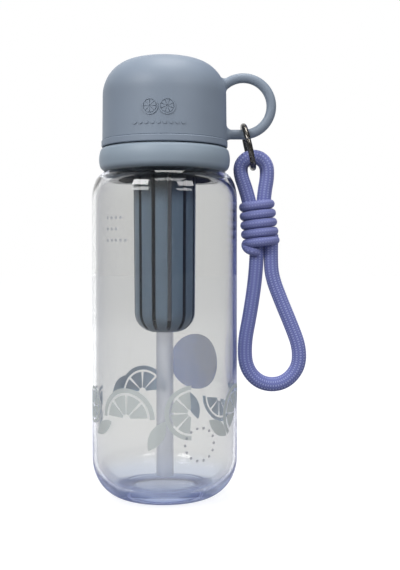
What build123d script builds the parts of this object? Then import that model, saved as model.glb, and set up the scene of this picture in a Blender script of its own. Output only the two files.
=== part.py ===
"""Fruit infuser water bottle.

A clear bottle with a straw lid, a slotted infuser, a dome cap with a loop handle, a ring and a rope lanyard.
Millimetres, +Z up. The origin is the centre of the base, on the surface that the bottle stands on.
The loop handle, the ring and the lanyard are on the +X side.
"""
from math import atan2, cos, degrees, pi, radians, sin, sqrt, tan
import os

from build123d import *

os.makedirs("parts", exist_ok=True)

# Shared clearances
cut_overrun = 1.0
seat_gap = 0.3
slip_gap = 0.4
fit_gap = 0.05
seal_gap = 0.1

# Bottle
bottle_radius = 38.0
bottle_wall = 2.0
heel_reach = 18.0
heel_height = 21.0
foot_width = 1.8
dish_depth = 2.2
dish_slope = 2.6
floor_thickness = 3.2
floor_ring_offset = 1.0
floor_ring_height = 0.8
floor_ring_width = 1.2
shoulder_start = 155.5
shoulder_reach = 8.0
shoulder_height = 14.5
neck_inset = 2.4
neck_height = 14.0
neck_wall = 3.0
rim_rounding = 0.8

# Collar, the outer skin of the lid
collar_wall = 2.9
collar_height = 11.9
collar_bulge = 1.35
collar_low_rounding = 3.4
collar_top_rounding = 2.6

# Lid core
skirt_wall = 1.9
deck_thickness = 2.4
seal_thickness = 1.2
seal_width = 3.2
boss_height = 3.3
boss_wall = 2.0
socket_wall = 2.0
socket_depth = 9.0
nozzle_seat_radius = 8.2
nozzle_seat_wall = 1.6
nozzle_seat_height = 2.6
stub_wall = 0.8
stub_length = 11.0
vent_hole_radius = 1.5
vent_cap_radius = 2.4
vent_cap_height = 1.0

# Mouthpiece
nozzle_bore_radius = 3.0
nozzle_flange_height = 1.8
nozzle_neck_radius = 5.0
nozzle_tip_radius = 6.2
nozzle_tip_height = 5.0
nozzle_height = 17.0
nozzle_rounding = 1.2

# Straw
straw_radius = 4.5
straw_wall = 0.7
straw_floor_gap = 4.5

# Infuser basket
basket_clearance = 8.2
basket_taper = 0.6
basket_length = 98.7
basket_wall = 1.8
basket_flat = 0.4
basket_guide_wall = 1.4
basket_guide_height = 6.0
slot_count = 12
slot_width = 2.1
slot_phase = 11.0
slot_start_share = 17 / 35
slot_headroom = 14.0

# Dome cap
dome_lip_overhang = 0.1
dome_lip_step = 0.45
dome_draft = 0.25
dome_corner_radius = 19.0
dome_crown_radius = 70.0
dome_room = 21.0
dome_wall = 2.0
dome_lip_height = 3.4
dome_lip_groove = 0.25
dome_lip_rounding = 0.6
liner_wall = 1.2
liner_roof = 1.6
liner_rounding = 2.5
dome_seal_radius = 8.6
dome_seal_height = 2.4
seal_cup_wall = 1.2
seal_cup_depth = 1.4

# Loop handle moulded on the dome
handle_tube = 5.1
handle_loop_radius = 14.7
handle_stand_off = 8.6
handle_rise = 21.7
handle_sweep = 240.0
handle_root_depth = 1.6
handle_root_rounding = 2.8

# Ring that hangs on the handle
ring_wire = 3.1
ring_tilt = 13.5
ring_radius = 11.1
ring_seat_offset = 1.1
gate_hinge_angle = 222.0
gate_nose_angle = 162.0
gate_wire = 2.9
gate_gap = 0.25
gate_tongue = 1.1
hinge_gap = 0.1
hinge_eye_radius = 1.35
hinge_width = 2.7
tongue_eye_radius = 1.15
pin_radius = 0.45

# Lanyard: the rope's route is a list of (x, z) points in the plane of the handle loop
rope_diameter = 7.2
upper_route = [
    (44.6, 153.0),
    (42.8, 160.2),
    (39.8, 168.4),
    (39.75, 173.9),
    (43.75, 177.95),
    (49.45, 177.95),
    (53.45, 173.9),
    (53.7, 167.2),
    (52.3, 159.8),
    (51.75, 153.0),
]
lower_route = [
    (48.7, 137.5),
    (48.3, 125.5),
    (47.2, 111.5),
    (44.7, 95.0),
    (41.75, 79.6),
    (42.75, 66.6),
    (50.8, 58.55),
    (62.2, 58.55),
    (70.25, 66.6),
    (71.0, 77.5),
    (66.6, 89.5),
    (60.9, 103.0),
    (57.6, 116.0),
    (56.0, 128.0),
    (55.9, 137.5),
]
bend_share = 0.45

# The thinner cord wound round the rope
wrap_cord = 4.1
wrap_turns = 5
wrap_pitch = 4.74
wrap_front_drop = 1.8
wrap_top_z = 153.4
wrap_top_x = 48.25
wrap_low_x = 50.45
wrap_top_width = 14.2
wrap_low_width = 15.5
wrap_clear = 0.2
gap_samples = 24


def write(part, name):
    """Labels a finished piece and writes it under its name."""
    part.label = name
    export_step(part, f"parts/{name}.step")


# Heights and radii that follow from the sizes above
heel_centre_r = bottle_radius - heel_reach
shoulder_centre_r = bottle_radius - shoulder_reach
inner_radius = bottle_radius - bottle_wall
floor_ring_radius = heel_centre_r + floor_ring_offset
neck_radius = shoulder_centre_r - neck_inset
mouth_radius = neck_radius - neck_wall
shoulder_top = shoulder_start + shoulder_height
rim_z = shoulder_top + neck_height
collar_bottom = shoulder_top + seat_gap
collar_top = collar_bottom + collar_height
skirt_radius = neck_radius + slip_gap
core_radius = skirt_radius + skirt_wall
collar_bore = core_radius + fit_gap
collar_radius = collar_bore + collar_wall
dome_lip_radius = collar_radius + dome_lip_overhang
dome_wall_radius = dome_lip_radius - dome_lip_step
dome_shoulder_radius = dome_wall_radius - dome_draft
seal_bottom = rim_z + seal_gap
deck_bottom = seal_bottom + seal_thickness
deck_top = deck_bottom + deck_thickness
boss_top = deck_top + boss_height
dome_bore_radius = dome_shoulder_radius - dome_wall
liner_radius = dome_bore_radius - fit_gap
boss_radius = liner_radius - liner_wall - slip_gap
dome_lip_z = collar_top + slip_gap
nozzle_top = deck_top + nozzle_height
disc_bottom = nozzle_top + seat_gap
ceiling_z = disc_bottom + dome_seal_height
dome_top = ceiling_z + liner_roof + dome_room
handle_centre_x = dome_wall_radius + handle_stand_off
handle_centre_z = dome_lip_z + handle_rise
straw_bore_radius = straw_radius - straw_wall
straw_bottom = dish_depth + floor_thickness + straw_floor_gap
hang_z = deck_bottom - seat_gap
basket_top_radius = mouth_radius - basket_clearance
basket_low_radius = basket_top_radius - basket_taper
basket_bottom = hang_z - basket_length
socket_radius = basket_top_radius + slip_gap

# Bottle body: heel and shoulder are elliptical, the wall between them is straight
floor_z = dish_depth + floor_thickness
ring_top_z = floor_z + floor_ring_height
ring_inner_r = floor_ring_radius - floor_ring_width
with BuildPart() as bottle_body:
    with BuildSketch(Plane.XZ):
        with BuildLine():
            EllipticalCenterArc((heel_centre_r, heel_height), heel_reach, heel_height, 270, arc_size=90)
            Line((bottle_radius, heel_height), (bottle_radius, shoulder_start))
            EllipticalCenterArc(
                (shoulder_centre_r, shoulder_start), shoulder_reach, shoulder_height, arc_size=90
            )
            Polyline(
                (shoulder_centre_r, shoulder_top),
                (neck_radius, shoulder_top),
                (neck_radius, rim_z),
                (mouth_radius, rim_z),
                (mouth_radius, shoulder_top - bottle_wall),
            )
            EllipticalCenterArc(
                (mouth_radius, shoulder_start),
                inner_radius - mouth_radius,
                shoulder_height - bottle_wall,
                arc_size=90,
            )
            Line((inner_radius, shoulder_start), (inner_radius, heel_height))
            EllipticalCenterArc(
                (floor_ring_radius, heel_height),
                inner_radius - floor_ring_radius,
                heel_height - floor_z,
                270,
                arc_size=90,
            )
            Polyline(
                (floor_ring_radius, floor_z),
                (floor_ring_radius, ring_top_z),
                (ring_inner_r, ring_top_z),
                (ring_inner_r, floor_z),
                (0, floor_z),
                (0, dish_depth),
                (heel_centre_r - foot_width - dish_slope, dish_depth),
                (heel_centre_r - foot_width, 0),
                (heel_centre_r, 0),
            )
        make_face()
    revolve(axis=Axis.Z)
    fillet(bottle_body.edges().filter_by(GeomType.CIRCLE).group_by(Axis.Z)[-1], rim_rounding)
write(bottle_body.part, "bottle_body")

# Collar: a slightly bulged ring round the lid, rounded more below than above
collar_mid_z = (collar_bottom + collar_top) / 2
with BuildPart() as collar:
    with BuildSketch(Plane.XZ) as collar_section:
        with BuildLine():
            Polyline(
                (collar_radius, collar_top),
                (collar_bore, collar_top),
                (collar_bore, collar_bottom),
                (collar_radius, collar_bottom),
            )
            ThreePointArc(
                (collar_radius, collar_bottom),
                (collar_radius + collar_bulge, collar_mid_z),
                (collar_radius, collar_top),
            )
        make_face()
        fillet(collar_section.vertices().group_by(Axis.X)[-1].sort_by(Axis.Y)[0], collar_low_rounding)
        fillet(collar_section.vertices().group_by(Axis.Y)[-1].sort_by(Axis.X)[-1], collar_top_rounding)
    revolve(axis=Axis.Z)
write(collar.part, "collar")

# Lid core: skirt over the neck, deck, boss for the dome, seat for the mouthpiece, socket and straw stub below
stub_radius = straw_bore_radius - fit_gap
stub_bore = stub_radius - stub_wall
vent_circle = (socket_radius + socket_wall + skirt_radius - seal_width) / 2
with BuildPart() as lid_core:
    with BuildSketch(Plane.XZ):
        with BuildLine():
            Polyline(
                (core_radius, collar_bottom),
                (core_radius, collar_top),
                (boss_radius, collar_top),
                (boss_radius, boss_top),
                (boss_radius - boss_wall, boss_top),
                (boss_radius - boss_wall, deck_top),
                (nozzle_seat_radius + nozzle_seat_wall, deck_top),
                (nozzle_seat_radius + nozzle_seat_wall, deck_top + nozzle_seat_height),
                (nozzle_seat_radius, deck_top + nozzle_seat_height),
                (nozzle_seat_radius, deck_top),
                (stub_bore, deck_top),
                (stub_bore, deck_bottom - stub_length),
                (stub_radius, deck_bottom - stub_length),
                (stub_radius, deck_bottom),
                (socket_radius, deck_bottom),
                (socket_radius, deck_bottom - socket_depth),
                (socket_radius + socket_wall, deck_bottom - socket_depth),
                (socket_radius + socket_wall, deck_bottom),
                (skirt_radius, deck_bottom),
                (skirt_radius, collar_bottom),
                close=True,
            )
        make_face()
    revolve(axis=Axis.Z)
    with BuildSketch(Plane.XY.offset(deck_bottom - cut_overrun)):
        with Locations((-vent_circle, 0)):
            Circle(vent_hole_radius)
    extrude(amount=deck_thickness + 2 * cut_overrun, mode=Mode.SUBTRACT)
write(lid_core.part, "lid_core")

# Flat silicone ring under the deck, over the rim
with BuildPart() as lid_seal:
    with BuildSketch(Plane.XY.offset(seal_bottom)):
        Circle(skirt_radius - fit_gap)
        Circle(skirt_radius - seal_width, mode=Mode.SUBTRACT)
    extrude(amount=seal_thickness)
write(lid_seal.part, "lid_seal")

# Breather: a stem through the deck with a cap above and below
with BuildPart() as vent_valve:
    with BuildSketch(Plane.XY.offset(deck_bottom - vent_cap_height)):
        with Locations((-vent_circle, 0)):
            Circle(vent_cap_radius)
    extrude(amount=vent_cap_height)
    with BuildSketch(Plane.XY.offset(deck_bottom)):
        with Locations((-vent_circle, 0)):
            Circle(vent_hole_radius - fit_gap)
    extrude(amount=deck_thickness)
    with BuildSketch(Plane.XY.offset(deck_top)):
        with Locations((-vent_circle, 0)):
            Circle(vent_cap_radius)
    extrude(amount=vent_cap_height)
    fillet(vent_valve.edges().filter_by(GeomType.CIRCLE).group_by(Axis.Z)[-1], vent_cap_height / 3)
write(vent_valve.part, "vent_valve")

# Mouthpiece: flange, slim neck and a rounded tip with a bore
tip_low_z = nozzle_top - nozzle_tip_height
with BuildPart() as nozzle:
    with BuildSketch(Plane.XZ) as nozzle_section:
        with BuildLine():
            Polyline(
                (nozzle_bore_radius, deck_top),
                (nozzle_seat_radius - fit_gap, deck_top),
                (nozzle_seat_radius - fit_gap, deck_top + nozzle_flange_height),
                (nozzle_neck_radius + nozzle_rounding, deck_top + nozzle_flange_height),
                (nozzle_neck_radius, tip_low_z - nozzle_rounding),
                (nozzle_tip_radius, tip_low_z),
                (nozzle_tip_radius, nozzle_top),
                (nozzle_bore_radius, nozzle_top),
                close=True,
            )
        make_face()
        fillet(nozzle_section.vertices().group_by(Axis.Y)[-1].sort_by(Axis.X)[-1], nozzle_rounding)
    revolve(axis=Axis.Z)
write(nozzle.part, "nozzle")

# Straw: pushed on the stub, down to just above the floor
with BuildPart() as straw:
    with BuildSketch(Plane.XY.offset(straw_bottom)):
        Circle(straw_radius)
        Circle(straw_bore_radius, mode=Mode.SUBTRACT)
    extrude(amount=hang_z - straw_bottom)
write(straw.part, "straw")

# Infuser basket: a tapered cup with a round corner, a guide for the straw and slots that run round the corner
basket_hole = straw_radius + slip_gap
basket_bend_r = basket_hole + basket_flat
basket_corner_radius = basket_low_radius - basket_bend_r
basket_bend_z = basket_bottom + basket_corner_radius
inner_corner = basket_corner_radius - basket_wall
slot_outer_radius = basket_top_radius + cut_overrun
slot_inner_radius = basket_bend_r + slot_start_share * basket_corner_radius
slot_length = slot_outer_radius - slot_inner_radius
with BuildPart() as infuser_basket:
    with BuildSketch(Plane.XZ):
        with BuildLine():
            Line((basket_top_radius, hang_z), (basket_low_radius, basket_bend_z))
            CenterArc((basket_bend_r, basket_bend_z), basket_corner_radius, 0, -90)
            Polyline(
                (basket_bend_r, basket_bottom),
                (basket_hole, basket_bottom),
                (basket_hole, basket_bottom + basket_guide_height),
                (basket_hole + basket_guide_wall, basket_bottom + basket_guide_height),
                (basket_hole + basket_guide_wall, basket_bottom + basket_wall),
            )
            Line(
                (basket_hole + basket_guide_wall, basket_bottom + basket_wall),
                (basket_bend_r + basket_wall, basket_bottom + basket_wall),
            )
            EllipticalCenterArc(
                (basket_bend_r + basket_wall, basket_bend_z),
                inner_corner - basket_wall,
                inner_corner,
                270,
                arc_size=90,
            )
            Polyline(
                (basket_low_radius - basket_wall, basket_bend_z),
                (basket_top_radius - basket_wall, hang_z),
                (basket_top_radius, hang_z),
            )
        make_face()
    revolve(axis=Axis.Z)
    with BuildSketch(Plane.XY.offset(basket_bottom - cut_overrun)):
        with PolarLocations((slot_inner_radius + slot_outer_radius) / 2, slot_count, slot_phase - 90):
            SlotOverall(slot_length, slot_width)
    extrude(amount=hang_z - slot_headroom - basket_bottom + cut_overrun, mode=Mode.SUBTRACT)
write(infuser_basket.part, "infuser_basket")

# Dome shell: a wall with a beaded lip, a large round corner and a shallow crown; the handle grows out of it
corner_r = dome_shoulder_radius - dome_corner_radius
crown_centre_z = dome_top - dome_crown_radius
corner_z = crown_centre_z + sqrt((dome_crown_radius - dome_corner_radius) ** 2 - corner_r**2)
corner_angle = degrees(atan2(corner_z - crown_centre_z, corner_r))
lip_top_z = dome_lip_z + dome_lip_height
handle_low_z = handle_centre_z - handle_loop_radius
with BuildPart() as dome_shell:
    with BuildLine(Plane.XZ) as handle_path:
        Line((dome_wall_radius - handle_root_depth, handle_low_z), (handle_centre_x, handle_low_z))
        CenterArc((handle_centre_x, handle_centre_z), handle_loop_radius, -90, handle_sweep)
    with BuildSketch(Plane(origin=handle_path.line @ 0, z_dir=handle_path.line % 0)):
        Circle(handle_tube / 2)
    sweep(path=handle_path.line)
    with BuildSketch(Plane.XZ) as dome_section:
        with BuildLine():
            Polyline(
                (0, dome_lip_z),
                (dome_lip_radius, dome_lip_z),
                (dome_lip_radius, lip_top_z),
                (dome_wall_radius - dome_lip_groove, lip_top_z),
                (dome_wall_radius, lip_top_z + dome_lip_groove),
                (dome_shoulder_radius, corner_z),
            )
            CenterArc((corner_r, corner_z), dome_corner_radius, 0, corner_angle)
            CenterArc((0, crown_centre_z), dome_crown_radius, corner_angle, 90 - corner_angle)
            Line((0, dome_top), (0, dome_lip_z))
        make_face()
        fillet(dome_section.vertices().group_by(Axis.X)[-1], dome_lip_rounding)
    revolve(axis=Axis.Z)
    with BuildSketch(Plane.XZ):
        with BuildLine():
            Polyline(
                (0, dome_lip_z - cut_overrun),
                (dome_bore_radius, dome_lip_z - cut_overrun),
                (dome_bore_radius, corner_z),
            )
            CenterArc((corner_r, corner_z), dome_corner_radius - dome_wall, 0, corner_angle)
            CenterArc((0, crown_centre_z), dome_crown_radius - dome_wall, corner_angle, 90 - corner_angle)
            Line((0, dome_top - dome_wall), (0, dome_lip_z - cut_overrun))
        make_face()
    revolve(axis=Axis.Z, mode=Mode.SUBTRACT)
    handle_roots = dome_shell.edges().filter_by(GeomType.BSPLINE)
    fillet(handle_roots.filter_by(lambda edge: edge.center().X > dome_bore_radius), handle_root_rounding)
write(dome_shell.part, "dome_shell")

# Dome liner: an inner cup that grips the boss and holds the closing disc
cup_radius = dome_seal_radius + fit_gap
with BuildPart() as dome_liner:
    with BuildSketch(Plane.XZ) as liner_section:
        with BuildLine():
            Polyline(
                (0, ceiling_z),
                (cup_radius, ceiling_z),
                (cup_radius, ceiling_z - seal_cup_depth),
                (cup_radius + seal_cup_wall, ceiling_z - seal_cup_depth),
                (cup_radius + seal_cup_wall, ceiling_z),
                (liner_radius - liner_wall, ceiling_z),
                (liner_radius - liner_wall, dome_lip_z),
                (liner_radius, dome_lip_z),
                (liner_radius, ceiling_z + liner_roof),
                (0, ceiling_z + liner_roof),
                close=True,
            )
        make_face()
        fillet(liner_section.vertices().group_by(Axis.Y)[-1].sort_by(Axis.X)[-1], liner_rounding)
    revolve(axis=Axis.Z)
write(dome_liner.part, "dome_liner")

with BuildPart() as dome_seal:
    with BuildSketch(Plane.XY.offset(disc_bottom)):
        Circle(dome_seal_radius)
    extrude(amount=dome_seal_height)
write(dome_seal.part, "dome_seal")

# Ring: it hangs on the low side of the handle, tilted outwards at its foot.
# Its nose and the gate's are cut along circles about the hinge, so that the gate can swing inwards past it
tilt = radians(ring_tilt)
ring_reach = ring_radius - ring_wire / 2 - seat_gap - handle_tube / 2
ring_plane = Plane(
    origin=(
        handle_centre_x + ring_seat_offset + ring_reach * sin(tilt),
        0,
        handle_low_z - ring_reach * cos(tilt),
    ),
    x_dir=(0, 1, 0),
    z_dir=(cos(tilt), 0, sin(tilt)),
)
nose = radians(gate_nose_angle)
nose_point = (ring_radius * cos(nose), ring_radius * sin(nose))
nose_run = degrees(ring_wire / ring_radius)
pin_angle = degrees(pin_radius / ring_radius)
eye_angle = degrees((hinge_eye_radius + gate_gap) / ring_radius)
hinge = radians(gate_hinge_angle)
hinge_point = (ring_radius * cos(hinge), ring_radius * sin(hinge))
nose_reach = 2 * ring_radius * sin((hinge - nose) / 2)
nose_zone = 2 * ring_wire
ring_arc = 360 - gate_hinge_angle + gate_nose_angle + nose_run
gate_arc = gate_hinge_angle - eye_angle - gate_nose_angle + nose_run
with BuildPart() as ring_body:
    with BuildSketch(ring_plane):
        with Locations(hinge_point):
            Circle(hinge_eye_radius)
    extrude(amount=hinge_width / 2, both=True)
    with BuildLine(ring_plane) as ring_path:
        CenterArc((0, 0), ring_radius, gate_hinge_angle + pin_angle, ring_arc - pin_angle)
    with BuildSketch(Plane(origin=ring_path.line @ 0, z_dir=ring_path.line % 0)):
        Circle(ring_wire / 2)
    sweep(path=ring_path.line)
    with BuildSketch(ring_plane):
        with Locations(hinge_point):
            Circle(hinge_eye_radius + gate_gap)
    extrude(amount=gate_tongue / 2 + hinge_gap, both=True, mode=Mode.SUBTRACT)
    with BuildSketch(ring_plane):
        with Locations(hinge_point):
            Circle(pin_radius)
    extrude(amount=ring_wire, both=True, mode=Mode.SUBTRACT)
    with BuildSketch(ring_plane):
        with Locations(nose_point):
            Circle(nose_zone)
        with Locations(hinge_point):
            Circle(nose_reach + gate_gap, mode=Mode.INTERSECT)
    extrude(amount=ring_wire, both=True, mode=Mode.SUBTRACT)
write(ring_body.part, "ring_body")

tongue_run = hinge_eye_radius + gate_gap + gate_wire / 3
with BuildPart() as ring_gate:
    with BuildLine(ring_plane) as gate_path:
        CenterArc((0, 0), ring_radius, gate_hinge_angle - eye_angle, -gate_arc)
    with BuildSketch(Plane(origin=gate_path.line @ 0, z_dir=gate_path.line % 0)):
        Circle(gate_wire / 2)
    sweep(path=gate_path.line)
    with BuildSketch(ring_plane):
        with Locations(hinge_point):
            Circle(tongue_eye_radius)
        with Locations(Location((*hinge_point, 0), (0, 0, gate_hinge_angle - 90))):
            Rectangle(tongue_run, 2 * tongue_eye_radius, align=(Align.MIN, Align.CENTER))
    extrude(amount=gate_tongue / 2, both=True)
    with BuildSketch(ring_plane):
        with Locations(hinge_point):
            Circle(pin_radius + fit_gap)
    extrude(amount=ring_wire, both=True, mode=Mode.SUBTRACT)
    with BuildSketch(ring_plane):
        with Locations(nose_point):
            Circle(nose_zone)
        with Locations(hinge_point):
            Circle(nose_reach - gate_gap, mode=Mode.SUBTRACT)
    extrude(amount=ring_wire, both=True, mode=Mode.SUBTRACT)
write(ring_gate.part, "ring_gate")

with BuildPart() as gate_pin:
    with BuildSketch(ring_plane):
        with Locations(hinge_point):
            Circle(pin_radius)
    extrude(amount=hinge_width / 2, both=True)
write(gate_pin.part, "gate_pin")


def bend_radii(route):
    """The radius at each corner of a route: as large as its two runs allow."""
    points = [Vector(x, 0, z) for x, z in route]
    radii = []
    for before, here, after in zip(points, points[1:], points[2:]):
        run_in = here - before
        run_out = after - here
        half_turn = radians(run_in.get_angle(run_out)) / 2
        radii.append(bend_share * min(run_in.length, run_out.length) / tan(half_turn))
    return radii


def report_tube(name, piece, length, diameter):
    """Prints a tube's volume against its section times its length."""
    expected = pi * diameter**2 / 4 * length
    print(f"{name}: length {length:.1f}, volume {piece.volume:.0f} against {expected:.0f}")


# Rope: two free loops, cut flat where they meet the strands that the wrap presses together
wrap_low_z = wrap_top_z - (wrap_turns - 1) * wrap_pitch - wrap_front_drop
core_top_z = wrap_top_z + wrap_cord / 2 + wrap_clear
core_low_z = wrap_low_z - wrap_cord / 2 - wrap_clear
for name, route, cut_z, keep in (
    ("rope_upper_loop", upper_route, core_top_z, Keep.TOP),
    ("rope_lower_loop", lower_route, core_low_z, Keep.BOTTOM),
):
    radii = bend_radii(route)
    print(name, "radii", [round(r, 1) for r in radii])
    with BuildPart() as rope_loop:
        with BuildLine(Plane.XZ) as rope_path:
            FilletPolyline(*route, radius=radii)
        with BuildSketch(Plane(origin=rope_path.line @ 0, z_dir=rope_path.line % 0)):
            Circle(rope_diameter / 2)
        sweep(path=rope_path.line)
        report_tube(name, rope_loop.part, rope_path.wire().length, rope_diameter)
        split(bisect_by=Plane.XY.offset(cut_z), keep=keep)
    write(rope_loop.part, name)

core_top_radius = wrap_top_width / 2 - wrap_cord / 2 - slip_gap
core_low_radius = wrap_low_width / 2 - wrap_cord / 2 - slip_gap
with BuildPart() as rope_core:
    with BuildSketch(Plane.XY.offset(core_low_z)):
        with Locations((wrap_low_x, 0)):
            Circle(core_low_radius)
    with BuildSketch(Plane.XY.offset(core_top_z)):
        with Locations((wrap_top_x, 0)):
            Circle(core_top_radius)
    loft()
write(rope_core.part, "rope_core")


def wrap_point(half_turn):
    """The wound cord's centre after a number of half turns: right, left, right and so on, going down."""
    z = wrap_top_z - half_turn // 2 * wrap_pitch - half_turn % 2 * wrap_front_drop
    share = (wrap_top_z - z) / (wrap_top_z - wrap_low_z)
    x = wrap_top_x + (wrap_low_x - wrap_top_x) * share
    width = wrap_top_width + (wrap_low_width - wrap_top_width) * share
    side = 1 if half_turn % 2 == 0 else -1
    return Vector(x + side * width / 2, 0, z)


# Wrap: each half turn is a tilted half circle from one side of the rope to the other, front and back in turn.
# The half turns at the front are nearly level, so the cord goes down mostly at the back
half_turns = 2 * wrap_turns - 1
with BuildPart() as rope_wrap:
    with BuildLine() as wrap_path:
        start = wrap_point(0)
        Line(start + Vector(0, wrap_cord, 0), start)
        for k in range(half_turns):
            here = wrap_point(k)
            there = wrap_point(k + 1)
            side = -1 if k % 2 == 0 else 1
            crest = (here + there) / 2 + Vector(0, side * (there - here).length / 2, 0)
            ThreePointArc(here, crest, there)
        end = wrap_point(half_turns)
        Line(end, end + Vector(0, wrap_cord, 0))
    with BuildSketch(Plane(origin=start + Vector(0, wrap_cord, 0), z_dir=(0, -1, 0))):
        Circle(wrap_cord / 2)
    sweep(path=wrap_path.line)
report_tube("rope_wrap", rope_wrap.part, wrap_path.wire().length, wrap_cord)
wrap_wire = wrap_path.wire()
sample_count = half_turns * gap_samples
samples = [wrap_wire @ (i / sample_count) for i in range(sample_count + 1)]
skip = int(pi * wrap_cord / wrap_wire.length * sample_count)
least = min((a - b).length for i, a in enumerate(samples) for b in samples[i + skip :])
print(f"rope_wrap: least gap to itself {least - wrap_cord:.2f}")
write(rope_wrap.part, "rope_wrap")
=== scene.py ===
"""Looks of a fruit infuser water bottle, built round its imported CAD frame.

Each sub-assembly has a class: the lanyard, the clear bottle with its prints and label, the lid, the infuser,
the dome cap and the snap ring. Everything stands in the frame of the CAD: +Z is up, +X points to the loop
handle and -Y to the viewer. Lengths are in metres, unless a name ends in _mm or a class says that its sizes
are in millimetres. Angles are in degrees.
"""

from __future__ import annotations

import logging
import math
from collections.abc import Iterator
from dataclasses import dataclass
from enum import Enum

import bmesh
import bpy
import numpy as np
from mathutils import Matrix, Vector

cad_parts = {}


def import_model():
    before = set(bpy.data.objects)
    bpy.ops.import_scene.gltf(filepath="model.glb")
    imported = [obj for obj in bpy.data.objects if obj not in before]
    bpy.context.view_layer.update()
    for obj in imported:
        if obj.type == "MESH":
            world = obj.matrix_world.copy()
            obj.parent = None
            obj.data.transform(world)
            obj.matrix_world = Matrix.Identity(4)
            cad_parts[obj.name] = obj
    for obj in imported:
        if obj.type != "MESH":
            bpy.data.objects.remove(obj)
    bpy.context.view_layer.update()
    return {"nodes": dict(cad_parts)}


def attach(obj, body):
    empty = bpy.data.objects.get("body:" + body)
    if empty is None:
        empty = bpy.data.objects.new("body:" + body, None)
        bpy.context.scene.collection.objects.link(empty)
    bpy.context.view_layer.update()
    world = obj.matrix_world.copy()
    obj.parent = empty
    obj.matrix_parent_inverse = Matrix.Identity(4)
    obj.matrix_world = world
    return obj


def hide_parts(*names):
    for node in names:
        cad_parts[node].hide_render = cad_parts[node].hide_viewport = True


Tree = bpy.types.NodeTree
Node = bpy.types.Node
Socket = bpy.types.NodeSocket
Piece = bpy.types.Object
Place = tuple[float, float, float]
Pair = tuple[float, float]
Face = tuple[int, ...]

LOG = logging.getLogger("infuser_bottle")
MM = 0.001
FIRST, SECOND = 6, 7  # the two colours of a mix node, whose sockets share their names with others
POLYPROPYLENE_INDEX = 1.49
THIN_WALL_INDEX = 1.2  # lower than a clear plastic's own, because the two faces of a thin wall nearly cancel


class Body(Enum):
    """The CAD bodies that new pieces ride on."""

    BOTTLE = "bottle"
    DOME = "dome"
    LANYARD = "lanyard"


class Lay(Enum):
    """The ways in which a cord lies."""

    HANGING = "hanging"
    COILED = "coiled"


class Motif(Enum):
    """The flat shapes that the prints are made of."""

    DISC = "disc"
    WEDGE = "wedge"
    RIND = "rind"
    LEAF = "leaf"


def linear(hex_code: str) -> tuple[float, float, float, float]:
    """Turns an sRGB hex colour to linear light.

    Args:
        hex_code: Six hex digits.

    Returns:
        Red, green, blue, and an alpha of 1.
    """
    channels = [int(hex_code[i : i + 2], 16) / 255 for i in (0, 2, 4)]
    red, green, blue = (c / 12.92 if c <= 0.04045 else ((c + 0.055) / 1.055) ** 2.4 for c in channels)
    return red, green, blue, 1.0


def add_node(
    tree: Tree, kind: str, inputs: dict[str | int, object] | None = None, **settings: object
) -> Node:
    """Adds one shader node.

    Args:
        tree: The node tree it goes into.
        kind: The node's type name.
        inputs: What each input socket, by name or number, gets: a value, the output socket that feeds it, or
            a node, whose first output in use then feeds it.
        **settings: The node's own properties.

    Returns:
        The node.
    """
    node = tree.nodes.new(kind)
    for name, value in settings.items():
        setattr(node, name, value)
    for key, value in (inputs or {}).items():
        if isinstance(value, Node):
            value = next(socket for socket in value.outputs if socket.enabled)
        if isinstance(value, Socket):
            tree.links.new(value, node.inputs[key])
        else:
            node.inputs[key].default_value = value
    return node


def mesh_object(name: str, points: np.ndarray, faces: list[Face], smooth: bool = True) -> Piece:
    """Makes a mesh object and links it to the scene.

    Args:
        name: The piece's name.
        points: One row of x, y, z for each vertex.
        faces: Vertex numbers of each face.
        smooth: Whether the faces shade smoothly.

    Returns:
        The object.
    """
    mesh = bpy.data.meshes.new(name)
    mesh.from_pydata([tuple(p) for p in points], [], faces)
    mesh.polygons.foreach_set("use_smooth", [smooth] * len(mesh.polygons))
    mesh.update()
    piece = bpy.data.objects.new(name, mesh)
    bpy.context.scene.collection.objects.link(piece)
    return piece


@dataclass(frozen=True)
class Marks:
    """The fine marks on a skin, such as a mould's grain, flow lines or fibres, at their real size.

    Attributes:
        width_mm: How wide a mark is.
        depth_mm: How deep it is, or 0 where the marks change only the tone.
        strength: How strongly they bend the light.
        detail: How much finer structure they have.
        along: The share of the height that counts: the lower, the longer they are drawn out up the piece.
    """

    width_mm: float
    depth_mm: float = 0.0
    strength: float = 0.4
    detail: float = 2.0
    along: float = 1.0

    def add(self, tree: Tree) -> tuple[Node, Node | None]:
        """Adds the marks to a material.

        Args:
            tree: The material's node tree.

        Returns:
            Their level, about 0.5 on the average, and the bump that they make, or None.
        """
        place = add_node(tree, "ShaderNodeTexCoord")
        drawn = add_node(
            tree, "ShaderNodeMapping", {"Vector": place.outputs["Object"], "Scale": (1.0, 1.0, self.along)}
        )
        level = add_node(
            tree,
            "ShaderNodeTexNoise",
            {"Vector": drawn, "Scale": 1 / (self.width_mm * MM), "Detail": self.detail},
        )
        if not self.depth_mm:
            return level, None
        deep = {"Height": level, "Distance": self.depth_mm * MM, "Strength": self.strength}
        return level, add_node(tree, "ShaderNodeBump", deep)


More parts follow.
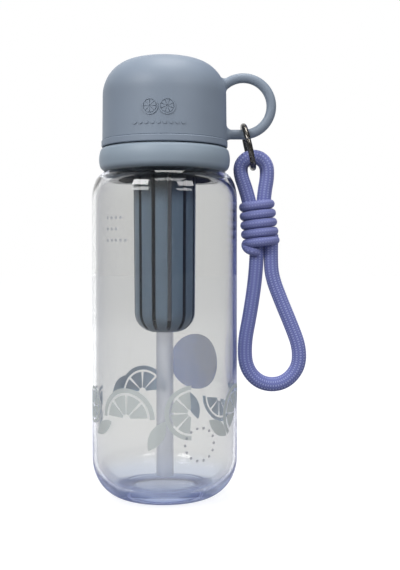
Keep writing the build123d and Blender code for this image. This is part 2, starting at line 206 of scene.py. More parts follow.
@dataclass(frozen=True)
class Finish:
    """A finish: its name, and the material that it makes once and then shares."""

    name: str

    def surface(self, tree: Tree) -> Node:
        """Builds the skin.

        Args:
            tree: The material's node tree.

        Returns:
            The skin's shader.
        """
        raise NotImplementedError

    def volume(self, tree: Tree) -> Node | None:
        """Builds what dyes the light below the skin, or gives None where nothing does."""
        return None

    def material(self) -> bpy.types.Material:
        """Gives the finish's material, made on first use.

        Returns:
            The material.
        """
        made = bpy.data.materials.get(self.name)
        if made:
            return made
        made = bpy.data.materials.new(self.name)
        made.use_nodes = True
        tree = made.node_tree
        tree.nodes.clear()
        ends: dict[str | int, object] = {"Surface": self.surface(tree)}
        below = self.volume(tree)
        if below is not None:
            ends["Volume"] = below
        add_node(tree, "ShaderNodeOutputMaterial", ends)
        return made


@dataclass(frozen=True)
class SoftTouchPolypropylene(Finish):
    """Injection-moulded polypropylene from a spark-eroded mould: an even, satin, faintly grained skin.

    Attributes:
        colour: Its colour.
        shade: Its colour in the darker clouds.
        roughness: Its least and greatest roughness.
        cloud: Its slow changes of tone.
        grain: Its grain.
    """

    colour: str = "8793A2"
    shade: str = "7E8997"
    roughness: Pair = (0.45, 0.57)
    cloud: Marks = Marks(22.0, detail=3.0)
    grain: Marks = Marks(0.45, 0.03, 0.5)  # the real grain is about 0.1 mm wide, too fine to show

    def surface(self, tree: Tree) -> Node:
        """Builds a grained satin plastic with slow changes of tone.

        Args:
            tree: The material's node tree.

        Returns:
            The skin's shader.
        """
        cloud, _ = self.cloud.add(tree)
        grain, bump = self.grain.add(tree)
        tone = add_node(
            tree,
            "ShaderNodeMix",
            {0: cloud, FIRST: linear(self.colour), SECOND: linear(self.shade)},
            data_type="RGBA",
        )
        smooth, rough = self.roughness
        gloss = add_node(tree, "ShaderNodeMapRange", {"Value": grain, "To Min": smooth, "To Max": rough})
        return add_node(
            tree,
            "ShaderNodeBsdfPrincipled",
            {"Base Color": tone, "Roughness": gloss, "Normal": bump, "IOR": POLYPROPYLENE_INDEX},
        )


@dataclass(frozen=True)
class PolishedPolypropylene(Finish):
    """Polypropylene from a polished mould, with faint flow lines along the draw: smoother, a little glossy,
    with painted shade where it is closed in.

    Attributes:
        colour: Its colour.
        shade: Its colour along the flow lines.
        painted_shade_share: The share of its colour that the painted shade leaves where no light gets, inside
            it and in its slots.
        openness: How open to the light a place is that counts as closed, and one that counts as open.
        reach_mm: How near another wall has to be to shade it.
        roughness: Its least and greatest roughness.
        flow: Its flow lines.
    """

    colour: str = "687A8A"
    shade: str = "5E6E7C"
    painted_shade_share: float = 0.08
    openness: Pair = (0.4, 0.95)
    reach_mm: float = 19.5
    roughness: Pair = (0.25, 0.38)
    flow: Marks = Marks(3.0, 0.02, detail=3.0, along=0.08)

    def surface(self, tree: Tree) -> Node:
        """Builds a semi-gloss plastic with flow lines that run up the piece, and painted shade where it is
        closed in.

        Args:
            tree: The material's node tree.

        Returns:
            The skin's shader.
        """
        flow, bump = self.flow.add(tree)
        tone = add_node(
            tree,
            "ShaderNodeMix",
            {0: flow, FIRST: linear(self.colour), SECOND: linear(self.shade)},
            data_type="RGBA",
        )
        smooth, rough = self.roughness
        gloss = add_node(tree, "ShaderNodeMapRange", {"Value": flow, "To Min": smooth, "To Max": rough})
        # Painted shade: ambient occlusion darkens the colour inside the basket, in its slots and at its top,
        # near the lid and the shoulder.
        near = {"Color": tone, "Distance": self.reach_mm * MM}
        enclosed = add_node(tree, "ShaderNodeAmbientOcclusion", near, samples=8)
        closed, open_ = self.openness
        deep = add_node(
            tree,
            "ShaderNodeMapRange",
            {"Value": enclosed.outputs["AO"], "From Min": closed, "From Max": open_, "To Min": self.painted_shade_share},
        )
        dim = add_node(
            tree,
            "ShaderNodeMix",
            {0: 1.0, FIRST: tone, SECOND: deep},
            data_type="RGBA",
            blend_type="MULTIPLY",
        )
        return add_node(
            tree,
            "ShaderNodeBsdfPrincipled",
            {"Base Color": dim, "Roughness": gloss, "Normal": bump, "IOR": POLYPROPYLENE_INDEX},
        )


@dataclass(frozen=True)
class ClearCopolyester(Finish):
    """Clear copolyester, stretch-blown: grey-clear face on and blue in its thick foot, with a painted blue
    shade along its edges and round the foot ring.

    Attributes:
        face: Its tint above the foot.
        foot: Its tint in the foot.
        rim: The colour of the painted shade where the eye looks along the wall, and of the painted line round
            the foot ring.
        foot_straight: The share of the light that passes the foot unbent.
        shadow: What its shadow keeps of the light.
        body_tint: The colour that its thickness takes on.
        body_density: How strongly it does.
        foot_mm: The heights where the foot's look begins, and where it is full.
        line_mm: The same for the painted line round the foot ring.
        edge: How far the wall turns from the eye where the painted edge shade begins, and where it is full.
        edge_share: How strong that painted shade is above the foot.
        coat_index: The IOR of its gloss, which is the plastic's own.
        roughness: Its roughness.
        streak: The faint streaks of the blown wall.
    """

    face: str = "E5E5E3"
    foot: str = "E9EDF4"
    # The colour of the painted shade along the edges and round the foot ring.
    rim: str = "465990"
    foot_straight: float = 0.4
    shadow: str = "E2E4E8"
    body_tint: str = "9BB2E2"
    body_density: float = 12.0
    foot_mm: Pair = (17.0, 6.0)
    line_mm: Pair = (2.6, 0.9)
    edge: Pair = (0.74, 0.98)
    edge_share: float = 0.3
    coat_index: float = 1.54
    roughness: float = 0.015
    streak: Marks = Marks(9.0, 0.012, detail=1.0, along=0.06)

    def tint(self, tree: Tree, height: Socket, low: Node) -> Node:
        """Builds the wall's tint, with the painted shade along its edges and round the foot ring.

        Args:
            tree: The material's node tree.
            height: The height of the place.
            low: 1 in the foot and 0 above it.

        Returns:
            The colour.
        """
        colours = {0: low, FIRST: linear(self.face), SECOND: linear(self.foot)}
        tone = add_node(tree, "ShaderNodeMix", colours, data_type="RGBA")
        # Painted shade: a blue darkening where the wall turns from the eye, and a thin line of it round the
        # foot ring.
        facing = add_node(tree, "ShaderNodeLayerWeight", {"Blend": 0.5})
        begins, full = self.edge
        edge = add_node(
            tree,
            "ShaderNodeMapRange",
            {"Value": facing.outputs["Facing"], "From Min": begins, "From Max": full},
            interpolation_type="SMOOTHSTEP",
        )
        strength = add_node(tree, "ShaderNodeMapRange", {"Value": low, "To Min": self.edge_share})
        around = add_node(tree, "ShaderNodeMath", {0: edge, 1: strength}, operation="MULTIPLY")
        begins, full = (level * MM for level in self.line_mm)
        line = add_node(tree, "ShaderNodeMapRange", {"Value": height, "From Min": begins, "From Max": full})
        painted_edge_shade = add_node(tree, "ShaderNodeMath", {0: around, 1: line}, operation="MAXIMUM")
        colours = {0: painted_edge_shade, FIRST: tone, SECOND: linear(self.rim)}
        return add_node(tree, "ShaderNodeMix", colours, data_type="RGBA")

    def surface(self, tree: Tree) -> Node:
        """Builds a clear, faintly streaked wall that casts a light shadow.

        Args:
            tree: The material's node tree.

        Returns:
            The wall's shader.
        """
        _, bump = self.streak.add(tree)
        place = add_node(tree, "ShaderNodeTexCoord")
        axes = add_node(tree, "ShaderNodeSeparateXYZ", {"Vector": place.outputs["Object"]})
        height = axes.outputs["Z"]
        begins, full = (level * MM for level in self.foot_mm)
        low = add_node(
            tree,
            "ShaderNodeMapRange",
            {"Value": height, "From Min": begins, "From Max": full},
            interpolation_type="SMOOTHSTEP",
        )
        tint = self.tint(tree, height, low)
        skin = add_node(
            tree,
            "ShaderNodeBsdfPrincipled",
            {
                "Base Color": tint,
                "Roughness": self.roughness,
                "Transmission Weight": 1.0,
                "IOR": THIN_WALL_INDEX,
                "Coat Weight": 0.7,
                "Coat Roughness": 0.03,
                "Coat IOR": self.coat_index,
                "Normal": bump,
            },
        )
        share = add_node(tree, "ShaderNodeMath", {0: low, 1: self.foot_straight}, operation="MULTIPLY")
        straight = add_node(tree, "ShaderNodeBsdfTransparent", {"Color": tint})
        wall = add_node(tree, "ShaderNodeMixShader", {0: share, 1: skin, 2: straight})
        path = add_node(tree, "ShaderNodeLightPath")
        clear = add_node(tree, "ShaderNodeBsdfTransparent", {"Color": linear(self.shadow)})
        return add_node(tree, "ShaderNodeMixShader", {0: path.outputs["Is Shadow Ray"], 1: wall, 2: clear})

    def volume(self, tree: Tree) -> Node:
        """Builds the blue that the plastic takes on with its thickness."""
        dye = {"Color": linear(self.body_tint), "Density": self.body_density}
        return add_node(tree, "ShaderNodeVolumeAbsorption", dye)


@dataclass(frozen=True)
class FrostedPolypropylene(Finish):
    """Extruded straw of natural polypropylene with a little grey: milky, so that light glows through it.

    Attributes:
        colour: Its colour.
        roughness: Its roughness.
        straight_share: The share of the light that passes it unbent.
        draw: The lines that the die leaves along it.
    """

    colour: str = "F4F5F8"
    roughness: float = 0.3
    straight_share: float = 0.58
    draw: Marks = Marks(1.2, 0.02, along=0.02)  # wider than the real lines, which are too fine to show

    def surface(self, tree: Tree) -> Node:
        """Builds a milky, half-clear plastic with fine draw lines.

        Args:
            tree: The material's node tree.

        Returns:
            The wall's shader.
        """
        _, bump = self.draw.add(tree)
        skin = add_node(
            tree,
            "ShaderNodeBsdfPrincipled",
            {
                "Base Color": linear(self.colour),
                "Roughness": self.roughness,
                "Transmission Weight": 0.8,
                "IOR": THIN_WALL_INDEX,
                "Normal": bump,
            },
        )
        through = add_node(tree, "ShaderNodeBsdfTransparent", {"Color": linear(self.colour)})
        return add_node(tree, "ShaderNodeMixShader", {0: self.straight_share, 1: skin, 2: through})


@dataclass(frozen=True)
class MouldedSilicone(Finish):
    """Food-grade silicone from a blasted mould: matt, and light goes a little way into it.

    Attributes:
        colour: Its colour.
        roughness: Its roughness.
        glow_mm: How far red, green and blue light go below its skin.
        grain: The grain that the blasted mould leaves.
    """

    colour: str = "DFE3E6"
    roughness: float = 0.55
    glow_mm: Place = (1.2, 1.0, 0.9)
    grain: Marks = Marks(0.6, 0.03)  # wider than the real grain, which is too fine to show

    def surface(self, tree: Tree) -> Node:
        """Builds a matt rubber with light scattering below its skin.

        Args:
            tree: The material's node tree.

        Returns:
            The skin's shader.
        """
        _, bump = self.grain.add(tree)
        return add_node(
            tree,
            "ShaderNodeBsdfPrincipled",
            {
                "Base Color": linear(self.colour),
                "Roughness": self.roughness,
                "Subsurface Weight": 0.4,
                "Subsurface Radius": tuple(reach * MM for reach in self.glow_mm),
                "Subsurface Scale": 1.0,
                "IOR": 1.41,
                "Normal": bump,
            },
        )


@dataclass(frozen=True)
class GunmetalPlating(Finish):
    """Die-cast zinc, tumbled and plated black nickel: dark, with bright highlights and fine tumbling marks.

    Attributes:
        colour: Its colour.
        worn_and_highlight: Its colour in the pale patches, which are partly worn plating and partly a painted
            highlight.
        wear_and_highlight_level: The level of the marks where the pale patches begin, and where they are
            full.
        roughness: Its least and greatest roughness.
        marks: The tumbling marks.
    """

    colour: str = "5E5B57"
    worn_and_highlight: str = "A39C90"
    wear_and_highlight_level: Pair = (0.52, 0.75)
    roughness: Pair = (0.16, 0.36)
    marks: Marks = Marks(0.5, 0.02, 0.3, detail=3.0)  # wider than the real ones, which are too fine to show

    def surface(self, tree: Tree) -> Node:
        """Builds a dark plated metal with slightly paler patches, partly wear and partly painted highlight.

        Args:
            tree: The material's node tree.

        Returns:
            The skin's shader.
        """
        marks, bump = self.marks.add(tree)
        # Pale patches: partly worn plating, partly a painted highlight.
        begins, full = self.wear_and_highlight_level
        wear_and_highlight_level = add_node(tree, "ShaderNodeMapRange", {"Value": marks, "From Min": begins, "From Max": full})
        tone = add_node(
            tree,
            "ShaderNodeMix",
            {0: wear_and_highlight_level, FIRST: linear(self.colour), SECOND: linear(self.worn_and_highlight)},
            data_type="RGBA",
        )
        smooth, rough = self.roughness
        gloss = add_node(tree, "ShaderNodeMapRange", {"Value": marks, "To Min": smooth, "To Max": rough})
        return add_node(
            tree,
            "ShaderNodeBsdfPrincipled",
            {"Base Color": tone, "Metallic": 1.0, "Roughness": gloss, "Normal": bump},
        )


@dataclass(frozen=True)
class BraidedPolyester(Finish):
    """Braided polyester filament with a soft sheen, and a painted shade that makes it dark between the
    strands and pale on the crowns.

    Attributes:
        deep: Its colour between the strands, a painted shade.
        crown: Its colour on the strands' crowns.
        pick: Its colour on the crowns of the pale strands.
        sheen: The colour of its sheen.
        fibre: Its filaments.
    """

    deep: str = "4E5590"
    crown: str = "7981BD"
    pick: str = "9BA2D0"
    sheen: str = "C5CBF2"
    fibre: Marks = Marks(0.35, 0.08, 0.5, detail=3.0)  # a real filament is far finer, too fine to show

    def surface(self, tree: Tree) -> Node:
        """Builds a cloth-like braid from the strand height, which paints shade between the strands, and the
        paler picks stored on the mesh.

        Args:
            tree: The material's node tree.

        Returns:
            The skin's shader.
        """
        _, bump = self.fibre.add(tree)
        # Painted shade: the colour goes from deep between the strands to crown on their tops, by the strand
        # height.
        tone: Node | tuple[float, ...] = linear(self.deep)
        for attribute, colour in (("strand", self.crown), ("pick", self.pick)):
            level = add_node(tree, "ShaderNodeAttribute", attribute_name=attribute)
            colours = {0: level.outputs["Fac"], FIRST: tone, SECOND: linear(colour)}
            tone = add_node(tree, "ShaderNodeMix", colours, data_type="RGBA")
        return add_node(
            tree,
            "ShaderNodeBsdfPrincipled",
            {
                "Base Color": tone,
                "Roughness": 0.72,
                "Specular IOR Level": 0.3,
                "Sheen Weight": 0.25,
                "Sheen Roughness": 0.4,
                "Sheen Tint": linear(self.sheen),
                "Normal": bump,
            },
        )


@dataclass(frozen=True)
class PrintInk(Finish):
    """Pad-printed ink on the clear wall: thin enough to let some light through, a little uneven.

    Attributes:
        colour: Its colour.
        opacity: How much of the light it stops.
        roughness: Its least and greatest roughness.
        mottle: Its patches.
    """

    colour: str
    opacity: float = 0.66
    roughness: Pair = (0.45, 0.7)
    mottle: Marks = Marks(2.5)

    def surface(self, tree: Tree) -> Node:
        """Builds a thin matt film.

        Args:
            tree: The material's node tree.

        Returns:
            The film's shader.
        """
        mottle, _ = self.mottle.add(tree)
        smooth, rough = self.roughness
        gloss = add_node(tree, "ShaderNodeMapRange", {"Value": mottle, "To Min": smooth, "To Max": rough})
        return add_node(
            tree,
            "ShaderNodeBsdfPrincipled",
            {"Base Color": linear(self.colour), "Roughness": gloss, "IOR": 1.5, "Alpha": self.opacity},
        )


def dress(node: Piece, finish: Finish) -> None:
    """Gives a CAD node its finish.

    Args:
        node: The node.
        finish: Its finish.
    """
    node.data.materials.clear()
    node.data.materials.append(finish.material())
    LOG.info("%s has %s", node.name, finish.name)


def seat(
    piece: Piece, body: Body, finishes: tuple[Finish, ...], replaces: tuple[str, ...] = ()
) -> None:
    """Gives a new piece its finishes and ties it to a CAD body.

    Args:
        piece: The new piece.
        body: The body that it moves with.
        finishes: Its finishes, in the order of its material slots.
        replaces: The CAD nodes that it stands for.
    """
    for finish in finishes:
        piece.data.materials.append(finish.material())
    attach(piece, body.value)
    if replaces:
        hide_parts(*replaces)
    LOG.info("%s rides on %s", piece.name, body.value)


@dataclass(frozen=True)
class SoftBox:
    """A rectangular studio lamp.

    Attributes:
        name: Its name.
        place: Where it hangs.
        width: Its width.
        height: Its height.
        watts: Its power.
        mirrored: Whether gloss and clear walls show it.
    """

    name: str
    place: Place
    width: float
    height: float
    watts: float
    mirrored: bool = True


@dataclass
class Studio:
    """The camera at the photograph's viewpoint, a white surround, a pale floor and soft lamps.

    Attributes:
        camera_place: Where the camera stands.
        camera_pitch: How far it is tipped up from looking straight down.
        lens_mm: Its focal length.
        sensor_mm: Its sensor's long side.
        clip_start: How near it sees.
        behind: How far back a ray points where the surround turns white, and where it is white.
        right: How far right it points where the surround turns dim, and where it is dim.
        dusk: The colour of the dim side, which gives the clear wall its blue edges.
        surround: The colour of the light from all sides.
        ambient: How bright that light is, and how bright a mirror shows it.
        paper: The colour of the floor.
        floor_half: Half the floor's width.
        clearing: How far from the bottle the floor ceases to count as close to it, from where to where.
        brightness: How bright the floor looks close to the bottle, and far from it.
        brightness_reach: From where to where that changes.
        target: What the lamps are aimed at.
        soft_boxes: The lamps: a key at the upper left, and weaker ones at the right, above and behind.
    """

    camera_place: Place = (18.5 * MM, -500.0 * MM, 125.0 * MM)
    camera_pitch: float = 88.38
    lens_mm: float = 60.07
    sensor_mm: float = 36.0
    clip_start: float = 0.01
    behind: Pair = (0.3, 0.8)
    right: Pair = (0.1, 0.3)
    dusk: str = "5A6396"
    surround: str = "EEF1F6"
    ambient: Pair = (0.45, 0.12)
    paper: str = "8B8B8D"
    floor_half: float = 6.0
    clearing: Pair = (0.15, 0.4)
    brightness: Pair = (0.8, 0.9)
    brightness_reach: Pair = (0.3, 1.6)
    target: Place = (0.0, 0.0, 0.13)
    soft_boxes: tuple[SoftBox, ...] = (
        SoftBox("key", (-0.75, -0.9, 0.95), 0.6, 0.35, 11.0),
        SoftBox("fill", (0.75, -1.0, 0.9), 0.6, 0.3, 5.5),
        SoftBox("top", (0.08, 0.0, 1.15), 0.6, 0.5, 6.5),
        SoftBox("back", (-0.5, 1.0, 0.75), 0.6, 0.5, 4.0, mirrored=False),
    )

    def build(self) -> None:
        """Makes the camera, the world, the floor and the lamps."""
        self.set_camera()
        self.make_surround()
        self.lay_floor()
        self.hang_lamps()

    def set_camera(self) -> None:
        """Makes the camera, with its lens on the long side of the picture."""
        data = bpy.data.cameras.new("camera")
        data.lens = self.lens_mm
        data.sensor_width = self.sensor_mm
        data.clip_start = self.clip_start
        camera = bpy.data.objects.new("camera", data)
        camera.location = self.camera_place
        camera.rotation_euler = (math.radians(self.camera_pitch), 0.0, 0.0)
        bpy.context.scene.collection.objects.link(camera)
        bpy.context.scene.camera = camera
        bpy.context.scene.view_settings.view_transform = "Standard"

    def backdrop(self, tree: Tree, direction: Socket, far: Node | float) -> tuple[Node, Node, Node]:
        """Gives what a ray that leaves the object sees: white behind the object, dim and blue to its right.

        The pieces inside the bottle are lit as they would be without the bottle round them, because the
        backdrop isn't seen once a ray has left a matt surface.

        Args:
            tree: The node tree it goes into.
            direction: The direction out from the object.
            far: 0 close to the object, where the right isn't dim, and 1 further out.

        Returns:
            How much of the backdrop is seen, from 0 to 1, its colour, and 1 for a mirrored ray.
        """
        path = add_node(tree, "ShaderNodeLightPath")
        unit = add_node(tree, "ShaderNodeVectorMath", {0: direction}, operation="NORMALIZE")
        axes = add_node(tree, "ShaderNodeSeparateXYZ", {"Vector": unit})
        values: dict[str, Node | Socket | float] = {
            "one": 1.0,
            "far": far,
            "camera": path.outputs["Is Camera Ray"],
            "glossy": path.outputs["Is Glossy Ray"],
            "through": path.outputs["Is Transmission Ray"],
            "scattered": path.outputs["Diffuse Depth"],
        }
        for name, axis, (begins, full) in (("back", "Y", self.behind), ("right", "X", self.right)):
            values[name] = add_node(
                tree,
                "ShaderNodeMapRange",
                {"Value": axes.outputs[axis], "From Min": begins, "From Max": full},
                interpolation_type="SMOOTHSTEP",
            )
        for name, first, operation, second in (
            ("near", "one", "SUBTRACT", "far"),
            ("white", "near", "MAXIMUM", "back"),
            ("mirror", "glossy", "SUBTRACT", "through"),  # a bent ray that goes through counts as glossy too
            ("mirrored", "mirror", "MULTIPLY", "white"),
            ("first", "camera", "MAXIMUM", "mirrored"),
            ("both", "first", "MAXIMUM", "through"),
            ("direct", "one", "SUBTRACT", "scattered"),
            ("seen", "both", "MULTIPLY", "direct"),
            ("turned", "one", "SUBTRACT", "camera"),
            ("side", "right", "MULTIPLY", "turned"),
            ("away", "side", "MULTIPLY", "far"),
            ("under", "near", "MULTIPLY", "mirror"),
            ("dim", "away", "MAXIMUM", "under"),
        ):
            terms = {0: values[first], 1: values[second]}
            values[name] = add_node(tree, "ShaderNodeMath", terms, operation=operation, use_clamp=True)
        colours = {0: values["dim"], FIRST: linear("FFFFFF"), SECOND: linear(self.dusk)}
        return values["seen"], add_node(tree, "ShaderNodeMix", colours, data_type="RGBA"), values["mirror"]

    def make_surround(self) -> None:
        """Makes a surround that lights softly and looks white, directly and through the bottle."""
        world = bpy.data.worlds.new("surround")
        bpy.context.scene.world = world
        world.use_nodes = True
        tree = world.node_tree
        tree.nodes.clear()
        place = add_node(tree, "ShaderNodeTexCoord")
        seen, colour, mirror = self.backdrop(tree, place.outputs["Generated"], 1.0)
        open_, mirrored = self.ambient
        level = add_node(tree, "ShaderNodeMapRange", {"Value": mirror, "To Min": open_, "To Max": mirrored})
        light = add_node(
            tree, "ShaderNodeBackground", {"Color": linear(self.surround), "Strength": level}
        )
        white = add_node(tree, "ShaderNodeBackground", {"Color": colour, "Strength": 1.0})
        mix = add_node(tree, "ShaderNodeMixShader", {0: seen, 1: light, 2: white})
        add_node(tree, "ShaderNodeOutputWorld", {"Surface": mix})

    def lay_floor(self) -> None:
        """Makes a pale floor that reads as white and keeps a faint shadow."""
        half = self.floor_half
        corners = np.array([(-half, -half, 0), (half, -half, 0), (half, half, 0), (-half, half, 0)])
        floor = mesh_object("floor", corners, [(0, 1, 2, 3)], smooth=False)
        material = bpy.data.materials.new("studio_paper")
        material.use_nodes = True
        tree = material.node_tree
        tree.nodes.clear()
        place = add_node(tree, "ShaderNodeNewGeometry").outputs["Position"]
        reach = add_node(tree, "ShaderNodeVectorMath", {0: place}, operation="LENGTH")
        begins, full = self.clearing
        far = add_node(tree, "ShaderNodeMapRange", {"Value": reach, "From Min": begins, "From Max": full})
        seen, colour, _ = self.backdrop(tree, place, far)
        begins, full = self.brightness_reach
        near_level, far_level = self.brightness
        level = add_node(
            tree,
            "ShaderNodeMapRange",
            {
                "Value": reach,
                "From Min": begins,
                "From Max": full,
                "To Min": near_level,
                "To Max": far_level,
            },
            interpolation_type="SMOOTHSTEP",
        )
        lift = add_node(tree, "ShaderNodeMath", {0: seen, 1: level}, operation="MULTIPLY")
        paper = add_node(tree, "ShaderNodeBsdfDiffuse", {"Color": linear(self.paper)})
        glow = add_node(tree, "ShaderNodeEmission", {"Color": colour, "Strength": lift})
        both = add_node(tree, "ShaderNodeAddShader", {0: paper, 1: glow})
        add_node(tree, "ShaderNodeOutputMaterial", {"Surface": both})
        floor.data.materials.append(material)

    def hang_lamps(self) -> None:
        """Makes the soft boxes, aimed at the middle of the bottle."""
        for box in self.soft_boxes:
            data = bpy.data.lights.new(box.name, "AREA")
            data.shape = "RECTANGLE"
            data.size = box.width
            data.size_y = box.height
            data.energy = box.watts
            lamp = bpy.data.objects.new(box.name, data)
            lamp.location = box.place
            aim = Vector(self.target) - Vector(box.place)
            lamp.rotation_euler = aim.to_track_quat("-Z", "Y").to_euler()
            lamp.visible_glossy = lamp.visible_transmission = box.mirrored
            bpy.context.scene.collection.objects.link(lamp)


@dataclass(frozen=True)
class Braid:
    """A braided rope skin: two families of strands that pass over and under each other.

    Attributes:
        diameter: The rope's thickness over its crowns.
        cells_round: How many crossings there are in one turn round it.
        cell_length: How long a crossing is along it.
        relief: How far the gaps between the strands lie below the crowns.
        points_per_cell: How many mesh points follow one crossing.
        rounding: How round a strand is across, and along: the lower, the flatter its crown.
    """

    diameter: float
    cells_round: int
    cell_length: float
    relief: float
    points_per_cell: int = 4
    rounding: Pair = (0.6, 0.35)

    def height(self, turn: np.ndarray, run: np.ndarray) -> tuple[np.ndarray, np.ndarray]:
        """Gives the strand height and the pale picks over the rope's surface.

        Args:
            turn: Turns round the rope, from 0 to 1.
            run: Distance along it.

        Returns:
            Height from 0 to 1, and the same where a pale strand lies on top, with 0 elsewhere.
        """
        first = run / self.cell_length / 2 + turn * self.cells_round / 2
        second = run / self.cell_length / 2 - turn * self.cells_round / 2
        i, j = np.floor(first), np.floor(second)
        across, along = first - i, second - j
        over = np.mod(i + j, 2) < 0.5
        wide = np.where(over, across, along)
        long = np.where(over, along, across)
        crown = np.sin(np.pi * wide) ** self.rounding[0] * np.sin(np.pi * long) ** self.rounding[1]
        return crown, np.where(over, crown, 0.0)

    @staticmethod
    def axes(centre: np.ndarray) -> tuple[np.ndarray, np.ndarray]:
        """Gives two directions across the rope at each point of its centreline, without a twist.

        Args:
            centre: The centreline's points.

        Returns:
            Two sets of unit vectors.
        """
        tangent = np.gradient(centre, axis=0)
        tangent /= np.linalg.norm(tangent, axis=1)[:, None]
        start = np.cross(tangent[0], (0.0, 1.0, 0.0))
        if np.linalg.norm(start) < 0.1:
            start = np.cross(tangent[0], (0.0, 0.0, 1.0))
        side = np.zeros_like(centre)
        side[0] = start / np.linalg.norm(start)
        for k in range(1, len(centre)):
            moved = side[k - 1] - tangent[k] * np.dot(side[k - 1], tangent[k])
            side[k] = moved / np.linalg.norm(moved)
        return side, np.cross(tangent, side)

    @staticmethod
    def tube_faces(rows: int, around: int) -> list[Face]:
        """Gives the faces of a closed tube.

        Args:
            rows: How many rings of points it has, before the points in the middle of its two ends.
            around: How many points a ring has.

        Returns:
            The faces.
        """
        pairs = [(a, (a + 1) % around) for a in range(around)]
        faces: list[Face] = [
            (r * around + a, r * around + b, (r + 1) * around + b, (r + 1) * around + a)
            for r in range(rows - 1)
            for a, b in pairs
        ]
        last = (rows - 1) * around
        for a, b in pairs:
            faces += [(b, a, rows * around), (last + a, last + b, rows * around + 1)]
        return faces

    def tube(self, name: str, line: np.ndarray, swell: np.ndarray | None = None) -> Piece:
        """Sweeps the braid along a line.

        Args:
            name: The piece's name.
            line: Points of the centreline.
            swell: A factor on the radius at each point of the line, or None.

        Returns:
            A closed mesh tube with the attributes strand and pick.
        """
        step = self.cell_length / self.points_per_cell
        lengths = np.concatenate([[0.0], np.cumsum(np.linalg.norm(np.diff(line, axis=0), axis=1))])
        rows = max(2, round(lengths[-1] / step)) + 1
        run = np.linspace(0.0, lengths[-1], rows)
        centre = np.stack([np.interp(run, lengths, line[:, k]) for k in range(3)], axis=1)
        factor = np.ones(rows) if swell is None else np.interp(run, lengths, swell)
        side, up = self.axes(centre)
        around = self.cells_round * self.points_per_cell
        turn = np.arange(around) / around
        crown, pick = self.height(*np.meshgrid(turn, run))
        radius = factor[:, None] * self.diameter / 2 - self.relief * (1 - crown)
        angle = 2 * np.pi * turn
        ring = side[:, None, :] * np.cos(angle)[None, :, None] + up[:, None, :] * np.sin(angle)[None, :, None]
        skin = centre[:, None, :] + ring * radius[:, :, None]
        points = np.concatenate([skin.reshape(-1, 3), centre[:1], centre[-1:]])
        piece = mesh_object(name, points, self.tube_faces(rows, around))
        for title, values in (("strand", crown), ("pick", pick)):
            layer = piece.data.attributes.new(title, "FLOAT", "POINT")
            layer.data.foreach_set("value", np.append(values.reshape(-1), (0.5, 0.5)).astype(np.float32))
        return piece


